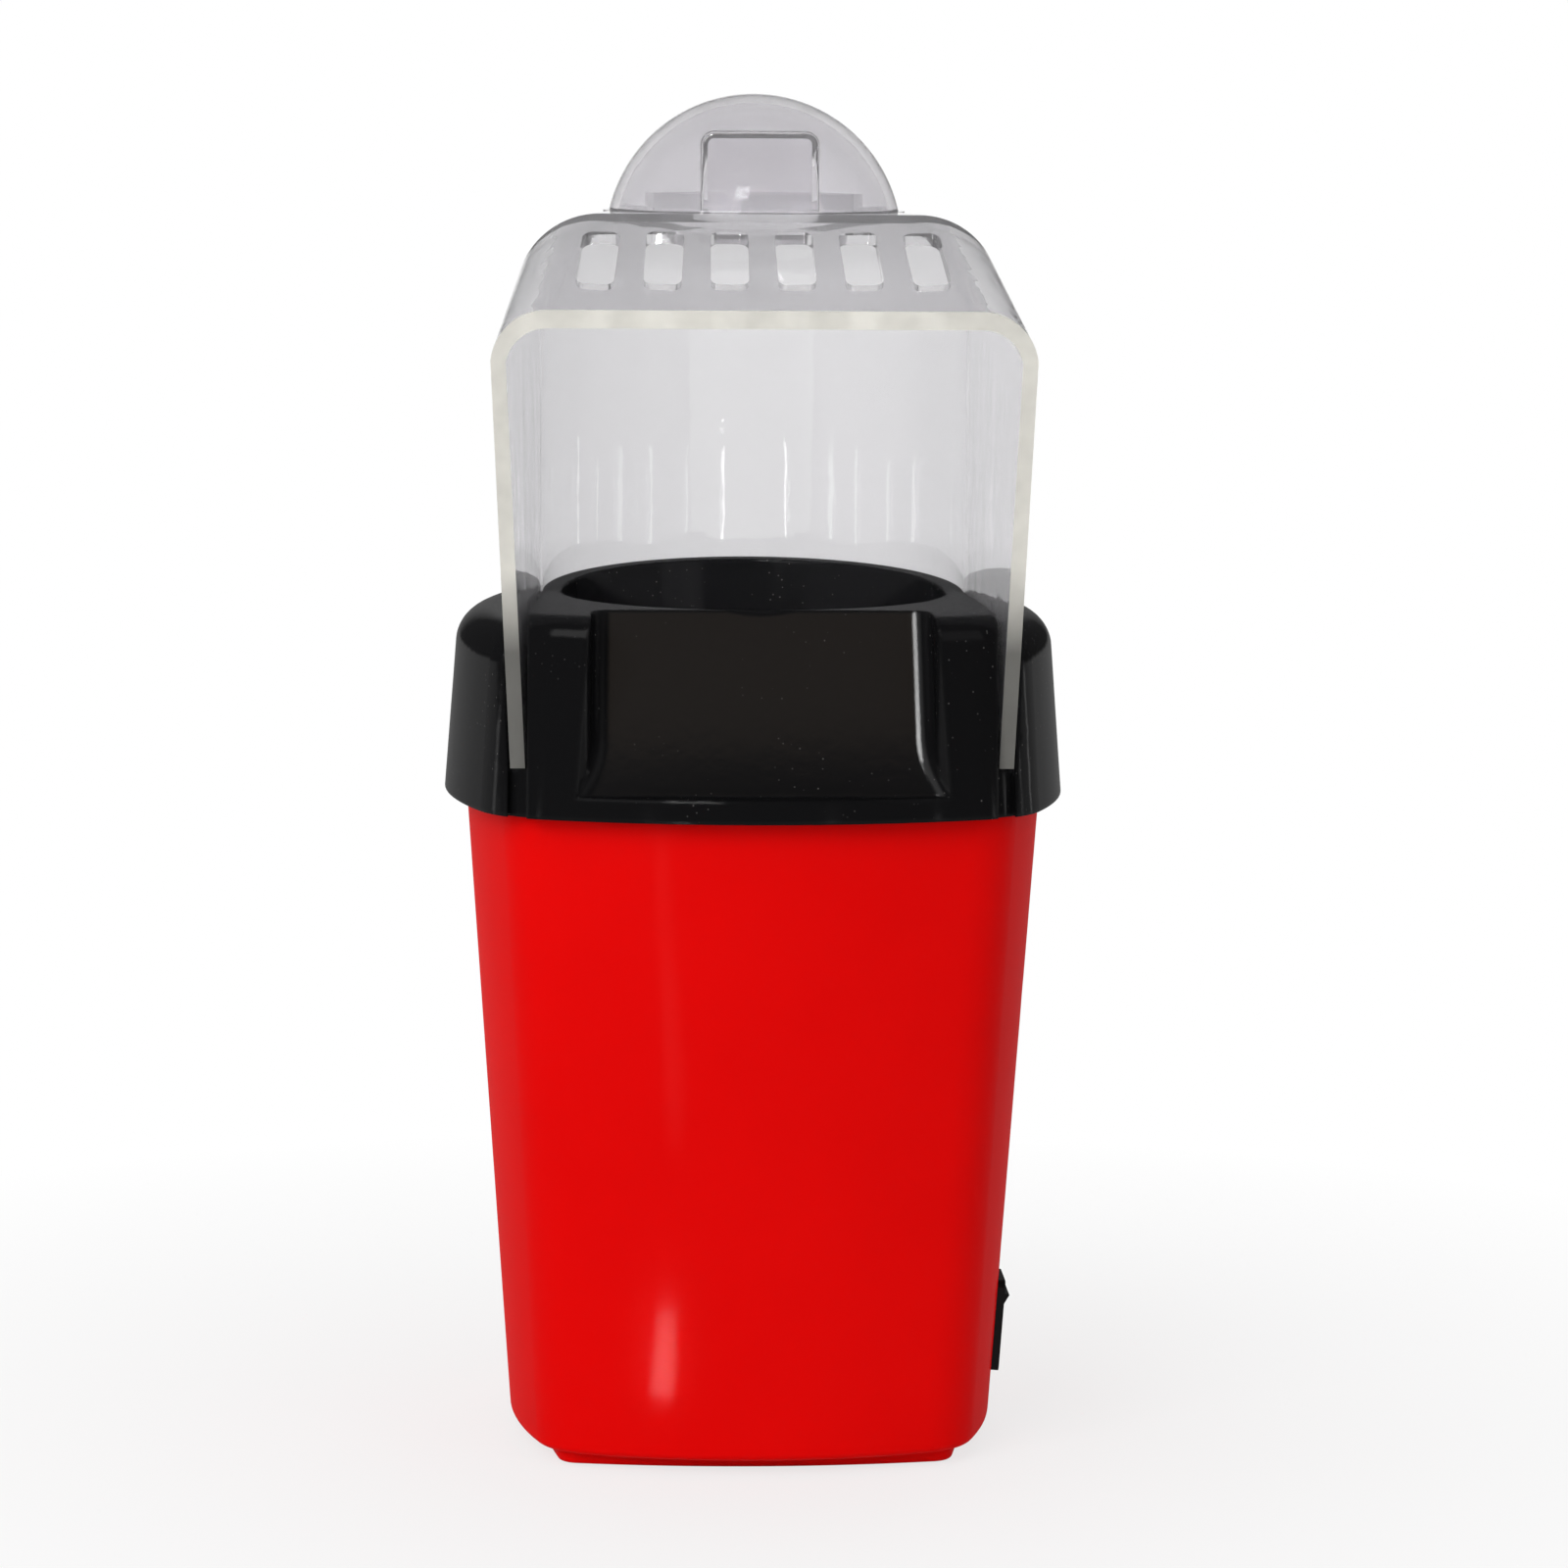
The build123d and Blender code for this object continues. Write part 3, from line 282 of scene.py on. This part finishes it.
view_distance = 1.2103
view_pitch = math.radians(7.48)
view_turn = math.radians(-2.59)
view_roll = 0.39
forward = Vector(
    (
        -math.sin(view_turn) * math.cos(view_pitch),
        math.cos(view_turn) * math.cos(view_pitch),
        -math.sin(view_pitch),
    )
)
aim_right = 0.00717
aim_up = 0.14635
aim = Vector((math.cos(view_turn), math.sin(view_turn), 0.0)) * aim_right + Vector((0.0, 0.0, aim_up))
camera_data = bpy.data.cameras.new("camera")
camera_data.lens = 122.97
camera_data.sensor_width = 36.0
camera = bpy.data.objects.new("camera", camera_data)
bpy.context.scene.collection.objects.link(camera)
camera.location = aim - forward * view_distance
look_at(camera, aim, view_roll)
bpy.context.scene.camera = camera


# Lamps
def area_lamp(name, place, target, width, height, power, spread_light=True):
    """A rectangular lamp, in metres and watts; one that spreads no light shows only as a highlight."""
    data = bpy.data.lights.new(name, "AREA")
    data.shape = "RECTANGLE"
    data.size = width
    data.size_y = height
    data.energy = power
    lamp = bpy.data.objects.new(name, data)
    bpy.context.scene.collection.objects.link(lamp)
    lamp.location = place
    look_at(lamp, target)
    lamp.visible_camera = False
    lamp.visible_diffuse = spread_light
    return lamp


area_lamp("key_lamp", (-0.75, -1.25, 0.95), (0.0, 0.0, 0.14), 0.9, 0.9, 12.0)
area_lamp("fill_lamp", (0.95, -1.0, 0.7), (0.0, 0.0, 0.14), 0.7, 0.9, 1.6)
rear = area_lamp("rear_lamp", (0.25, 1.1, 0.9), (0.0, 0.0, 0.2), 0.8, 0.5, 3.0)
rear.visible_glossy = False
rear.visible_transmission = False
area_lamp("glint_lamp", (-0.040, -0.113, 0.004), (-0.034, -0.09, 0.3), 0.009, 0.045, 0.07, False)
area_lamp("ground_lamp", (-0.108, -0.351, 0.003), (-0.104, -0.341, 0.3), 0.016, 0.4, 0.09, False)
area_lamp("spark_lamp", (-0.26, -1.1, 1.25), (0.0, 0.0, 0.17), 0.25, 0.25, 28.0, False)
warm = area_lamp("warm_panel", (0.05, -1.05, 1.2), (0.0, -0.05, 0.17), 0.34, 0.09, 0.18, False)
warm.data.color = (1.0, 0.78, 0.6)

# Low strips round the front, by turn in degrees and width, that draw bright streaks in the clear hood
streaks = (
    (-105.0, 0.05),
    (-84.0, 0.03),
    (-62.0, 0.02),
    (-46.0, 0.04),
    (-20.0, 0.02),
    (15.0, 0.03),
    (36.0, 0.015),
    (58.0, 0.03),
    (80.0, 0.05),
    (98.0, 0.02),
    (116.0, 0.04),
)
streak_reach = 0.95
streak_z = 0.09
streak_height = 0.12
front_turn = 70.0
front_power = 2.4
side_power = 1.7
for place, (turn, width) in enumerate(streaks):
    spot = Vector((math.sin(math.radians(turn)), -math.cos(math.radians(turn)), 0.0)) * streak_reach
    spot.z = streak_z
    power = width * (front_power if abs(turn) < front_turn else side_power)
    area_lamp(f"streak_lamp_{place}", spot, (0.0, 0.0, 0.2), width, streak_height, power, False)

# White surroundings: the eye and the clear pieces see white, gloss sees the white backdrop behind the
# object and a dim room elsewhere, and the rest lights the object softly
world = bpy.data.worlds.new("studio")
bpy.context.scene.world = world
world.use_nodes = True
tree = world.node_tree
tree.nodes.clear()
world_out = tree.nodes.new("ShaderNodeOutputWorld")
soft = tree.nodes.new("ShaderNodeBackground")
soft.inputs["Color"].default_value = (1.0, 1.0, 1.0, 1.0)
white = tree.nodes.new("ShaderNodeBackground")
white.inputs["Color"].default_value = (1.0, 1.0, 1.0, 1.0)
blend = tree.nodes.new("ShaderNodeMixShader")


def larger(tree, first, second):
    node = tree.nodes.new("ShaderNodeMath")
    node.operation = "MAXIMUM"
    tree.links.new(first, node.inputs[0])
    tree.links.new(second, node.inputs[1])
    return node.outputs["Value"]


path = tree.nodes.new("ShaderNodeLightPath")
seen = larger(tree, path.outputs["Is Camera Ray"], path.outputs["Is Transmission Ray"])
direction = tree.nodes.new("ShaderNodeTexCoord")
split = tree.nodes.new("ShaderNodeSeparateXYZ")
tree.links.new(direction.outputs["Generated"], split.inputs["Vector"])
soft_left, soft_right = 0.64, 0.34
tree.links.new(span(tree, split.outputs["X"], soft_left, soft_right, -0.5, 0.7), soft.inputs["Strength"])
room_level = 0.13
backdrop = span(tree, split.outputs["Y"], room_level, 1.0, 0.965, 0.995)
tree.links.new(larger(tree, seen, backdrop), white.inputs["Strength"])
tree.links.new(larger(tree, seen, path.outputs["Is Glossy Ray"]), blend.inputs["Fac"])
tree.links.new(soft.outputs["Background"], blend.inputs[1])
tree.links.new(white.outputs["Background"], blend.inputs[2])
tree.links.new(blend.outputs["Shader"], world_out.inputs["Surface"])

# Pale floor that keeps a faint shadow
floor_mesh = bpy.data.meshes.new("floor")
half = 6.0
corners = [(-half, -half, 0.0), (half, -half, 0.0), (half, half, 0.0), (-half, half, 0.0)]
floor_mesh.from_pydata(corners, [], [(0, 1, 2, 3)])
floor = bpy.data.objects.new("floor", floor_mesh)
bpy.context.scene.collection.objects.link(floor)
floor_mat = bpy.data.materials.new("pale_floor")
floor_mat.use_nodes = True
tree = floor_mat.node_tree
tree.nodes.clear()
floor_out = tree.nodes.new("ShaderNodeOutputMaterial")
matte = tree.nodes.new("ShaderNodeBsdfDiffuse")
matte.inputs["Color"].default_value = (0.74, 0.74, 0.74, 1.0)
glow = tree.nodes.new("ShaderNodeEmission")
glow.inputs["Strength"].default_value = 1.0
path = tree.nodes.new("ShaderNodeLightPath")
seen = larger(tree, path.outputs["Is Camera Ray"], path.outputs["Is Transmission Ray"])
seen = larger(tree, seen, path.outputs["Is Glossy Ray"])
place = tree.nodes.new("ShaderNodeTexCoord")
reach = tree.nodes.new("ShaderNodeVectorMath")
reach.operation = "LENGTH"
tree.links.new(place.outputs["Object"], reach.inputs[0])
share = tree.nodes.new("ShaderNodeMath")
share.operation = "MULTIPLY"
tree.links.new(seen, share.inputs[0])
near_share, near_reach, far_reach = 0.75, 0.08, 0.34
tree.links.new(span(tree, reach.outputs["Value"], near_share, 1.0, near_reach, far_reach), share.inputs[1])
floor_blend = tree.nodes.new("ShaderNodeMixShader")
tree.links.new(share.outputs["Value"], floor_blend.inputs["Fac"])
tree.links.new(matte.outputs["BSDF"], floor_blend.inputs[1])
tree.links.new(glow.outputs["Emission"], floor_blend.inputs[2])
tree.links.new(floor_blend.outputs["Shader"], floor_out.inputs["Surface"])
floor_mesh.materials.append(floor_mat)

bpy.context.scene.view_settings.view_transform = "Standard"
